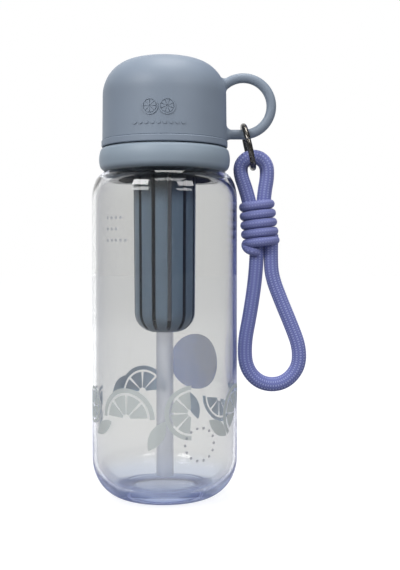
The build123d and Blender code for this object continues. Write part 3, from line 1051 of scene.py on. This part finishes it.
@dataclass
class Lanyard:
    """A braided rope in two loops, held together by a thinner cord wound round it. Sizes are in millimetres.

    Attributes:
        upper_route: The loop over the ring, as x and z of its spline's points.
        lower_route: The hand loop.
        rope: The rope's braid, in metres.
        cord: The wound cord's braid, in metres.
        wrap_turns: How often the cord goes round.
        wrap_pitch: How far a turn lies below the last.
        front_drop: How far a turn's left end lies below its right one.
        wrap_top: The height of the first turn.
        wrap_x: The middle of the first turn, and of the last.
        wrap_width: The width of the first turn, and of the last.
        steps_per_half_turn: How many spline points a half turn has.
        lead: Where the cord comes from, seen from its first turn.
        tail: Where its end goes under the last turn, seen from there.
        core_reach: How far the pressed strands stand out of the winding, at each end.
        core_inset: How much narrower than the winding they are.
        core_steps: How many steps their line has.
        finish: The rope's finish.
        cord_finish: The wound cord's finish.
    """

    upper_route: tuple[Pair, ...] = (
        (44.6, 153.0),
        (42.8, 160.2),
        (39.8, 168.4),
        (39.75, 173.9),
        (43.75, 177.95),
        (49.45, 177.95),
        (53.45, 173.9),
        (53.7, 167.2),
        (52.3, 159.8),
        (51.75, 153.0),
    )
    lower_route: tuple[Pair, ...] = (
        (48.7, 137.5),
        (48.3, 125.5),
        (47.2, 111.5),
        (44.7, 95.0),
        (41.75, 79.6),
        (42.75, 66.6),
        (50.8, 58.55),
        (62.2, 58.55),
        (70.25, 66.6),
        (71.0, 77.5),
        (66.6, 89.5),
        (60.9, 103.0),
        (56.2, 115.5),
        (55.6, 126.0),
        (55.9, 137.5),
    )
    rope: Braid = Braid(diameter=7.6 * MM, cells_round=22, cell_length=0.66 * MM, relief=0.15 * MM)
    cord: Braid = Braid(diameter=4.7 * MM, cells_round=16, cell_length=0.6 * MM, relief=0.1 * MM)
    wrap_turns: int = 5
    wrap_pitch: float = 4.74
    front_drop: float = 1.8
    wrap_top: float = 153.4
    wrap_x: Pair = (48.25, 50.45)
    wrap_width: Pair = (14.2, 15.5)
    steps_per_half_turn: int = 7
    lead: Place = (-1.0, 4.0, 0.0)
    tail: tuple[Place, ...] = (
        (-0.3, -1.8, -1.2),
        (0.4, -3.7, -2.7),
        (2.0, -5.0, -3.7),
        (4.0, -5.2, -4.1),
        (5.6, -3.8, -4.3),
    )
    core_reach: float = 1.6
    core_inset: float = 4.6
    core_steps: int = 12
    finish: BraidedPolyester = BraidedPolyester("braided_polyester_rope")
    # Its deep colour is the painted shade between the cord's strands.
    cord_finish: BraidedPolyester = BraidedPolyester(
        "braided_polyester_cord", deep="5A5F96", crown="7C82B6", pick="8D93C2"
    )

    @staticmethod
    def spline_line(points: list[Vector]) -> np.ndarray:
        """Reads the smooth line of a route.

        Args:
            points: The route's points, which are the spline's control points.

        Returns:
            Points along the NURBS line, in metres.
        """
        data = bpy.data.curves.new("route", "CURVE")
        data.dimensions = "3D"
        data.resolution_u = 16
        spline = data.splines.new("NURBS")
        spline.points.add(len(points) - 1)
        for place, point in zip(spline.points, points):
            place.co = (*(point * MM), 1.0)
        spline.order_u = 3
        spline.use_endpoint_u = True
        route = bpy.data.objects.new("route", data)
        bpy.context.scene.collection.objects.link(route)
        bpy.context.view_layer.update()
        mesh = bpy.data.meshes.new_from_object(route)
        line = np.array([v.co for v in mesh.vertices], float)
        bpy.data.meshes.remove(mesh)
        bpy.data.objects.remove(route)
        return line

    def wrap_low(self) -> float:
        """Gives the height of the wound cord's last half turn."""
        return self.wrap_top - (self.wrap_turns - 1) * self.wrap_pitch - self.front_drop

    def wrap_route(self) -> list[Vector]:
        """Lays out the wound cord: half circles, nearly level at the front and steeper at the back.

        Returns:
            Its spline's points.
        """
        low = self.wrap_low()
        sides = []
        for k in range(2 * self.wrap_turns):
            z = self.wrap_top - k // 2 * self.wrap_pitch - k % 2 * self.front_drop
            share = (self.wrap_top - z) / (self.wrap_top - low)
            x = self.wrap_x[0] + (self.wrap_x[1] - self.wrap_x[0]) * share
            width = self.wrap_width[0] + (self.wrap_width[1] - self.wrap_width[0]) * share
            sides.append(Vector((x + (-1) ** k * width / 2, 0.0, z)))
        widen = 1 / math.cos(math.pi / self.steps_per_half_turn / 2)
        points = [sides[0] + Vector(self.lead)]
        for k, (here, there) in enumerate(zip(sides, sides[1:])):
            middle = (here + there) / 2
            out = Vector((0.0, (-1) ** (k + 1) * (there - here).length / 2, 0.0))
            for step in range(self.steps_per_half_turn):
                angle = math.pi * step / self.steps_per_half_turn
                spoke = (here - middle) * math.cos(angle) + out * math.sin(angle)
                points.append(middle + spoke * widen)
        points.append(sides[-1])
        return points + [sides[-1] + Vector(step) for step in self.tail]

    def build(self) -> None:
        """Makes the two loops, the wound cord and the pressed strands inside it."""
        for name, route in (("rope_upper", self.upper_route), ("rope_lower", self.lower_route)):
            line = self.spline_line([Vector((x, 0.0, z)) for x, z in route])
            piece = self.rope.tube(name, line)
            seat(piece, Body.LANYARD, (self.finish,), (f"{name}_loop",))
            self.declare(piece, line, self.rope.diameter, Lay.HANGING, [])
        core = self.core()
        seat(core, Body.LANYARD, (self.finish,), ("rope_core",))
        line = self.spline_line(self.wrap_route())
        winding = self.cord.tube("wound_cord", line)
        seat(winding, Body.LANYARD, (self.cord_finish,), ("rope_wrap",))
        self.declare(winding, line, self.cord.diameter, Lay.COILED, [core])

    @staticmethod
    def declare(piece: Piece, line: np.ndarray, diameter: float, lay: Lay, with_pieces: list[Piece]) -> None:
        """Does nothing: the cord and its real length are not declared.

        Args:
            piece: The mesh tube; not used.
            line: Its centreline, in metres; not used.
            diameter: Its thickness, in metres; not used.
            lay: How it lies; not used.
            with_pieces: The separate pieces on it; not used.
        """

    def core(self) -> Piece:
        """Makes the strands that the wound cord presses together, as one short braided bundle.

        Returns:
            The bundle.
        """
        top = Vector((self.wrap_x[0], 0.0, self.wrap_top + self.core_reach))
        low = Vector((self.wrap_x[1], 0.0, self.wrap_low() - self.core_reach))
        count = self.core_steps + 1
        line = np.array([top.lerp(low, t / self.core_steps) * MM for t in range(count)])
        swells = [(width - self.core_inset) * MM / self.rope.diameter for width in self.wrap_width]
        return self.rope.tube("pressed_strands", line, np.linspace(*swells, count))


@dataclass(frozen=True)
class WallShape:
    """A thin shape laid on a round wall. Sizes are in millimetres.

    Attributes:
        motif: What it is.
        centre: Its place: the angle round the axis, and the height.
        size: Its outer radius, or half a leaf's length.
        inner: Its inner radius.
        start: Its first angle, or the direction of a leaf.
        sweep: How far it turns.
        spoke_step: About how far apart the spokes of its mesh are.
        ring_step: About how far apart its rings are.
        leaf_share: Half a leaf's width, as a share of half its length.
        leaf_steps: How many steps a leaf's mesh has along it, and across.
    """

    motif: Motif
    centre: Pair
    size: float
    inner: float = 0.0
    start: float = 0.0
    sweep: float = 360.0
    spoke_step: float = 9.0
    ring_step: float = 2.5
    leaf_share: float = 0.42
    leaf_steps: tuple[int, int] = (14, 6)

    def grid(self) -> list[list[Pair]]:
        """Lays out the shape, flat, round its own centre.

        Returns:
            Rows of points.
        """
        if self.motif is Motif.LEAF:
            return self.leaf_grid()
        steps = max(3, round(self.sweep / self.spoke_step))
        rings = max(2, round((self.size - self.inner) / self.ring_step))
        rows = []
        for i in range(steps + 1):
            angle = math.radians(self.start + self.sweep * i / steps)
            radii = [self.inner + (self.size - self.inner) * j / rings for j in range(rings + 1)]
            rows.append([(r * math.cos(angle), r * math.sin(angle)) for r in radii])
        return rows

    def leaf_grid(self) -> list[list[Pair]]:
        """Lays out a leaf that is pointed at both ends.

        Returns:
            Rows of points.
        """
        length, width = self.leaf_steps
        turn = math.radians(self.start)
        cos, sin = math.cos(turn), math.sin(turn)
        rows = []
        for i in range(length + 1):
            t = -1 + 2 * i / length
            u, half = t * self.size, self.leaf_share * self.size * (1 - t * t)
            across = [half * (-1 + 2 * j / width) for j in range(width + 1)]
            rows.append([(u * cos - v * sin, u * sin + v * cos) for v in across])
        return rows


@dataclass(frozen=True)
class CitrusSlice:
    """A slice of fruit: a rind and its segments. Sizes are in millimetres.

    Attributes:
        angle: The angle of its centre round the wall.
        height: Its centre's height.
        size: Its radius.
        start: Its first angle.
        sweep: How far it turns: 360 is a whole slice.
        segment: How far a segment turns, with its gap.
        gap: How far apart two segments are.
        rind_share: The rind's inner radius, as a share of the slice's.
        flesh_shares: The segments' inner and outer radius, as shares of it.
    """

    angle: float
    height: float
    size: float
    start: float
    sweep: float = 180.0
    segment: float = 45.0
    gap: float = 7.0
    rind_share: float = 0.84
    flesh_shares: Pair = (0.14, 0.76)

    def shapes(self) -> list[WallShape]:
        """Lays out the slice.

        Returns:
            The rind and the segments.
        """
        centre = (self.angle, self.height)
        count = round(self.sweep / self.segment)
        inner, outer = (self.size * share for share in self.flesh_shares)
        rind = WallShape(Motif.RIND, centre, self.size, self.size * self.rind_share, self.start, self.sweep)
        segments = [
            WallShape(
                Motif.WEDGE,
                centre,
                outer,
                inner,
                self.start + self.sweep * k / count + self.gap / 2,
                self.sweep / count - self.gap,
            )
            for k in range(count)
        ]
        return [rind, *segments]


@dataclass(frozen=True)
class RoundWall:
    """A round wall whose radius changes evenly between two heights. Sizes are in millimetres."""

    low: float
    low_radius: float
    high: float
    high_radius: float

    def radius(self, height: float) -> float:
        """Gives its radius at a height."""
        share = min(1.0, max(0.0, (height - self.low) / (self.high - self.low)))
        return self.low_radius + (self.high_radius - self.low_radius) * share


@dataclass
class WallFilm:
    """A set of thin shapes on a round wall, with an outer and an inner skin. Sizes are in millimetres.

    Attributes:
        name: The piece's name.
        wall: The wall that it lies on.
        shapes: What is on it.
        proud: How far the outer skin stands off the wall.
        lift: How far the inner skin does.
        weld: How near each other two points are that become one.
    """

    name: str
    wall: RoundWall
    shapes: list[WallShape]
    proud: float = 0.07
    lift: float = 0.03
    weld: float = 0.002

    def skins(self, shape: WallShape, rows: list[list[Pair]]) -> list[list[float]]:
        """Wraps a shape round the wall.

        Args:
            shape: The shape.
            rows: Its flat points.

        Returns:
            The points of its outer skin, and then those of its inner one, in metres.
        """
        points = []
        for layer in (self.proud, self.lift):
            for u, v in (point for row in rows for point in row):
                height = shape.centre[1] + v
                radius = self.wall.radius(height) + layer
                angle = math.radians(shape.centre[0]) + u / radius
                points.append([c * MM for c in (radius * math.cos(angle), radius * math.sin(angle), height)])
        return points

    @staticmethod
    def plate(deep: int, wide: int, base: int) -> Iterator[tuple[Face, int]]:
        """Gives the faces of a thin plate whose two skins are grids of points.

        Args:
            deep: How many rows a skin has.
            wide: How many points a row has.
            base: The number of its first point.

        Yields:
            A face, and its material: 0 on the outer skin, and 1 on the inner one and round the rim.
        """
        count = deep * wide
        for i in range(deep - 1):
            for j in range(wide - 1):
                a = base + i * wide + j
                quad = (a, a + 1, a + wide + 1, a + wide)
                yield quad, 0
                yield tuple(n + count for n in reversed(quad)), 1
        rim = (
            [(i, 0) for i in range(deep)]
            + [(deep - 1, j) for j in range(1, wide)]
            + [(i, wide - 1) for i in range(deep - 2, -1, -1)]
            + [(0, j) for j in range(wide - 2, 0, -1)]
        )
        for (i, j), (k, m) in zip(rim, rim[1:] + rim[:1]):
            a, b = base + i * wide + j, base + k * wide + m
            yield (a, b, b + count, a + count), 1

    def build(self) -> Piece:
        """Makes the piece.

        Returns:
            The film, with two material slots to fill: that of its outer skin, and that of the rest.
        """
        points: list[list[float]] = []
        plates: list[tuple[Face, int]] = []
        for shape in self.shapes:
            rows = shape.grid()
            plates += self.plate(len(rows), len(rows[0]), len(points))
            points += self.skins(shape, rows)
        piece = mesh_object(self.name, np.array(points), [face for face, _ in plates], smooth=False)
        piece.data.polygons.foreach_set("material_index", [material for _, material in plates])
        self.clean(piece)
        return piece

    def clean(self, piece: Piece) -> None:
        """Joins points that lie on each other, which closes discs, and turns all faces outward.

        Args:
            piece: The film.
        """
        work = bmesh.new()
        work.from_mesh(piece.data)
        bmesh.ops.remove_doubles(work, verts=work.verts, dist=self.weld * MM)
        bmesh.ops.dissolve_degenerate(work, edges=work.edges, dist=self.weld * MM)
        bmesh.ops.recalc_face_normals(work, faces=work.faces)
        work.to_mesh(piece.data)
        work.free()


@dataclass
class Bottle:
    """The clear bottle with its printed frieze, its dotted marks and the label. Sizes are in millimetres.

    Attributes:
        wall: Its straight wall.
        slices: The frieze's slices of fruit: angle, height, radius, first angle and, if not 180, sweep.
        leaves: Its leaves: angle, height, half length and direction.
        row_start: The first dot of the rows at the upper left: angle and height.
        row_counts: How many dots each row has.
        row_steps: How far apart the dots are round the wall, and the rows below each other.
        row_dot: The radius of their dots.
        ring_centre: The middle of the ring of dots low on the right: angle and height.
        ring_radius: Its radius.
        ring_count: How many dots it has.
        ring_dot: The radius of its dots.
        label: The label on the back.
        clear: The wall's finish.
        ink: The frieze's ink, seen from outside.
        ink_back_painted_light: The same, seen through the bottle, made lighter and bluer as painted light.
        mark: The dots' ink.
        film: The label's film.
    """

    wall: RoundWall = RoundWall(0.0, 38.0, 200.0, 38.0)
    slices: tuple[tuple[float, ...], ...] = (
        (-118.0, 46.0, 15.0, 0.0),
        (-68.0, 49.0, 13.5, 90.0),
        (-16.0, 46.0, 14.5, 45.0),
        (38.0, 48.0, 13.0, 180.0),
        (112.0, 50.0, 14.5, 0.0),
        (160.0, 44.0, 12.5, -90.0),
        (-161.0, 50.0, 9.5, 0.0, 360.0),
    )
    leaves: tuple[tuple[float, float, float, float], ...] = (
        (-94.0, 38.0, 8.5, 60.0),
        (-43.0, 40.0, 8.0, -35.0),
        (10.0, 54.0, 8.5, 25.0),
        (66.0, 42.0, 8.0, 70.0),
        (136.0, 54.0, 7.5, -50.0),
        (-142.0, 40.0, 7.5, 30.0),
    )
    row_start: Pair = (-136.0, 145.0)
    row_counts: tuple[int, ...] = (4, 3, 5)
    row_steps: Pair = (4.4, 5.6)
    row_dot: float = 0.8
    ring_centre: Pair = (-60.5, 33.0)
    ring_radius: float = 8.2
    ring_count: int = 14
    ring_dot: float = 0.75
    label: WallShape = WallShape(Motif.DISC, (64.0, 67.0), 15.5)
    clear: ClearCopolyester = ClearCopolyester("clear_blown_copolyester")
    ink: PrintInk = PrintInk("print_ink_white", "CBCDC6")
    # Painted light: the ink seen through the bottle is a lighter, bluer copy, so that the back prints are not
    # too dark.
    ink_back_painted_light: PrintInk = PrintInk("print_ink_back_painted_light", "D4EAFF", opacity=0.7)
    mark: PrintInk = PrintInk("print_ink_grey", "B4B7BC", opacity=0.5)
    film: PrintInk = PrintInk("label_film_blue", "7AA2F0", opacity=0.42)

    def frieze(self) -> list[WallShape]:
        """Lays out the large printed shapes round the foot of the bottle.

        Returns:
            The shapes.
        """
        shapes = [shape for values in self.slices for shape in CitrusSlice(*values).shapes()]
        for angle, height, size, start in self.leaves:
            shapes.append(WallShape(Motif.LEAF, (angle, height), size, start=start))
        return shapes

    def dots(self) -> list[WallShape]:
        """Lays out the small marks: the short rows at the upper left and the ring low on the right.

        Returns:
            The shapes.
        """
        shapes = []
        for row, count in enumerate(self.row_counts):
            height = self.row_start[1] - self.row_steps[1] * row
            for k in range(count):
                angle = self.row_start[0] + self.row_steps[0] * k
                shapes.append(WallShape(Motif.DISC, (angle, height), self.row_dot))
        for k in range(self.ring_count):
            turn = 2 * math.pi * k / self.ring_count
            height = self.ring_centre[1] + self.ring_radius * math.sin(turn)
            sideways = self.ring_radius * math.cos(turn) / self.wall.radius(height)
            angle = self.ring_centre[0] + math.degrees(sideways)
            shapes.append(WallShape(Motif.DISC, (angle, height), self.ring_dot))
        return shapes

    def build(self, nodes: dict[str, Piece]) -> None:
        """Dresses the bottle and lays its prints and label on it.

        Args:
            nodes: The CAD nodes, by name.
        """
        dress(nodes["bottle_body"], self.clear)
        for film, outside, inside in (
            (WallFilm("printed_frieze", self.wall, self.frieze()), self.ink, self.ink_back_painted_light),
            (WallFilm("printed_dots", self.wall, self.dots()), self.mark, self.mark),
            (WallFilm("back_label", self.wall, [self.label], proud=0.14, lift=0.09), self.film, self.film),
        ):
            seat(film.build(), Body.BOTTLE, (outside, inside))


@dataclass
class Lid:
    """The lid: collar, core, seal, breather, mouthpiece and straw."""

    collar: Finish = SoftTouchPolypropylene("satin_polypropylene_collar", "93A1AD", "8C99A6")
    # The core is darker than the collar: partly its own tone, partly painted shade for where the collar
    # shades it under the shoulder.
    core: Finish = SoftTouchPolypropylene("satin_polypropylene_lid", "566069", "505A63")
    silicone: Finish = MouldedSilicone("moulded_silicone")
    straw: Finish = FrostedPolypropylene("frosted_polypropylene_straw")

    def build(self, nodes: dict[str, Piece]) -> None:
        """Dresses the lid's nodes.

        Args:
            nodes: The CAD nodes, by name.
        """
        dress(nodes["collar"], self.collar)
        dress(nodes["lid_core"], self.core)
        for name in ("lid_seal", "vent_valve", "nozzle"):
            dress(nodes[name], self.silicone)
        dress(nodes["straw"], self.straw)


@dataclass
class Infuser:
    """The slotted basket."""

    finish: Finish = PolishedPolypropylene("polished_polypropylene_infuser")

    def build(self, nodes: dict[str, Piece]) -> None:
        """Dresses the basket."""
        dress(nodes["infuser_basket"], self.finish)


@dataclass
class DomeCap:
    """The dome cap with its liner, closing disc and the raised mark on its front. Sizes are in millimetres.

    Attributes:
        wall: The dome's side, where the mark is.
        mark_centre: The middle of its two slices of fruit: angle and height.
        slice_offset: How far round the wall each slice is from there.
        slice_radius: The slices' radius.
        slice_starts: The first angle of the left slice, and of the right one.
        dot_count: How many dots are in the row below.
        dot_step: How far apart they are, round the wall.
        dot_height: The row's height.
        dot_radius: The dots' radius.
        shell: The dome's finish.
        liner: The liner's finish.
        silicone: The disc's finish.
    """

    wall: RoundWall = RoundWall(186.25, 32.5, 209.25, 32.25)
    mark_centre: Pair = (-93.2, 199.6)
    slice_offset: float = 7.6
    slice_radius: float = 4.1
    slice_starts: Pair = (0.0, 22.5)
    dot_count: int = 9
    dot_step: float = 5.4
    dot_height: float = 191.9
    dot_radius: float = 0.95
    shell: Finish = SoftTouchPolypropylene("satin_polypropylene_dome")
    liner: Finish = SoftTouchPolypropylene("satin_polypropylene_liner", "76828E", "6F7B87")
    silicone: Finish = MouldedSilicone("moulded_silicone")

    def mark(self) -> list[WallShape]:
        """Lays out the raised mark: two slices of fruit over a row of dots.

        Returns:
            The shapes.
        """
        middle, height = self.mark_centre
        shapes = []
        for side, start in zip((-1, 1), self.slice_starts):
            angle = middle + side * self.slice_offset
            shapes += CitrusSlice(angle, height, self.slice_radius, start, sweep=360.0).shapes()
        for k in range(self.dot_count):
            angle = middle + self.dot_step * (k - self.dot_count // 2)
            shapes.append(WallShape(Motif.DISC, (angle, self.dot_height), self.dot_radius))
        return shapes

    def build(self, nodes: dict[str, Piece]) -> None:
        """Dresses the cap and adds the raised mark.

        Args:
            nodes: The CAD nodes, by name.
        """
        dress(nodes["dome_shell"], self.shell)
        dress(nodes["dome_liner"], self.liner)
        dress(nodes["dome_seal"], self.silicone)
        mark = WallFilm("raised_mark", self.wall, self.mark(), proud=0.4, lift=-0.05).build()
        seat(mark, Body.DOME, (self.shell, self.shell))


@dataclass
class SnapRing:
    """The plated ring, its gate and the pin."""

    plating: Finish = GunmetalPlating("black_nickel_plating")

    def build(self, nodes: dict[str, Piece]) -> None:
        """Dresses the ring."""
        for name in ("ring_body", "ring_gate", "gate_pin"):
            dress(nodes[name], self.plating)


def main() -> None:
    """Loads the frame and builds every sub-assembly round it."""
    logging.basicConfig(level=logging.INFO, format="%(message)s")
    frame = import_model()
    Studio().build()
    Lanyard().build()
    for assembly in (Bottle(), Lid(), Infuser(), DomeCap(), SnapRing()):
        assembly.build(frame["nodes"])


if __name__ == "__main__":
    main()
